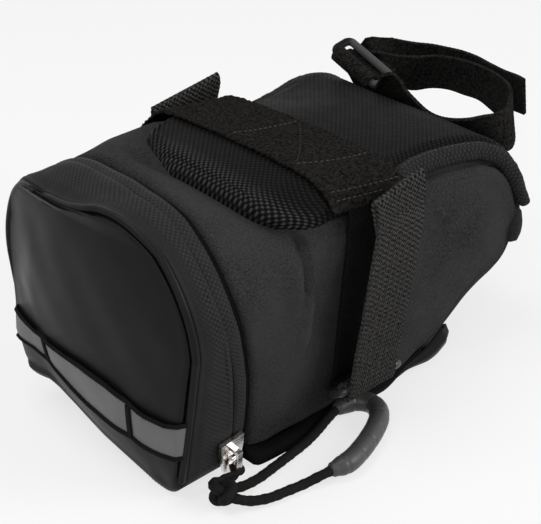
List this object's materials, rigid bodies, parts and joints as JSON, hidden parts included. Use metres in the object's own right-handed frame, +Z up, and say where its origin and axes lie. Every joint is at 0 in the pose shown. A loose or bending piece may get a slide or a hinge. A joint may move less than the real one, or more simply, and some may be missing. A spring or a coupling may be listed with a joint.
{
  "type": "saddle bag",
  "caption": "Small black bicycle saddle bag with a zipped rear lid, padded top, side straps through rings and a strap loop for the seat post.",
  "frame": {"origin": "on the floor under the middle of the bag's box, the free pull cord left out", "axes": "+X forward to the seat post, +Y to the rider's left, +Z up"},
  "size_m": [0.1958, 0.125, 0.0916],
  "materials": {
    "coated_fabric": "satin",
    "laminated_tape": "satin",
    "nylon": "matte",
    "embossed_skin": "matte",
    "webbing": "matte",
    "loop_pile": "matte",
    "reflective": "satin",
    "foam": "matte",
    "lining": "matte",
    "board": "matte",
    "ring_plastic": "satin",
    "zip_teeth": "matte",
    "nickel": "polished",
    "cord": "matte",
    "grip_rubber": "satin"
  },
  "bodies": {
    "bag": {"body_wrap": "nylon", "base_panel": "nylon", "front_panel": "nylon", "nose_binding": "nylon", "base_patch": "coated_fabric", "body_zip_tape": "laminated_tape", "body_zip_chain": "zip_teeth", "seam_binding": "webbing", "lid_hinge_strip": "laminated_tape", "top_pad_skin": "embossed_skin", "top_pad_foam": "foam", "pad_piping": "nylon", "top_pile_band": "loop_pile", "body_foam": "foam", "base_board": "board", "body_lining": "lining", "right_side_strap": "webbing", "left_side_strap": "webbing", "post_strap": "webbing", "post_tab": "webbing", "post_ring": "ring_plastic", "cord_grip": "grip_rubber"},
    "lid": {"rear_panel": "coated_fabric", "rear_foam": "foam", "rear_lining": "lining", "lid_gusset": "laminated_tape", "lid_zip_chain": "zip_teeth", "reflective_band": "reflective", "band_upper_edging": "webbing", "band_lower_edging": "webbing", "band_bar_tacks": "webbing"},
    "slider": {"zip_slider": "nickel"},
    "pull": {"pull_loop": "nickel", "pull_cord": "cord"},
    "right_ring_body": {"right_ring": "ring_plastic"},
    "right_tail": {"right_strap_tail": "webbing"},
    "left_ring_body": {"left_ring": "ring_plastic"},
    "left_tail": {"left_strap_tail": "webbing"},
    "post_tail": {"post_strap_tail": "webbing"}
  },
  "joints": [
    {"name": "lid_hinge", "type": "hinge", "parent": "bag", "child": "lid", "pos_m": [-0.06387, 0, 0.001], "axis": [0, -1, 0], "range_deg": [0, 90]},
    {"name": "zip_travel", "type": "slide", "parent": "bag", "child": "slider", "axis": [-0.0884, -0.1672, 0.982], "range_m": [0, 0.028], "deforming": ["pull_cord"]},
    {"name": "pull_swing", "type": "hinge", "parent": "slider", "child": "pull", "pos_m": [-0.06705, -0.04222, 0.00755], "axis": [-0.996, 0, -0.0896], "range_deg": [0, 60]},
    {"name": "right_ring_swing", "type": "hinge", "parent": "bag", "child": "right_ring_body", "pos_m": [-0.01487, -0.04344, 0.013], "axis": [1, 0, 0], "range_deg": [0, 15]},
    {"name": "right_tail_peel", "type": "hinge", "parent": "right_ring_body", "child": "right_tail", "pos_m": [-0.01487, -0.0499, 0.017], "axis": [1, 0, 0], "range_deg": [0, 75]},
    {"name": "left_ring_swing", "type": "hinge", "parent": "bag", "child": "left_ring_body", "pos_m": [-0.01487, 0.04344, 0.013], "axis": [-1, 0, 0], "range_deg": [0, 15]},
    {"name": "left_tail_peel", "type": "hinge", "parent": "left_ring_body", "child": "left_tail", "pos_m": [-0.01487, 0.0499, 0.017], "axis": [-1, 0, 0], "range_deg": [0, 75]},
    {"name": "post_tail_peel", "type": "hinge", "parent": "bag", "child": "post_tail", "pos_m": [0.08653, 0.0368, 0.07614], "axis": [0, 0.2496, 0.9684], "range_deg": [0, 40]}
  ]
}
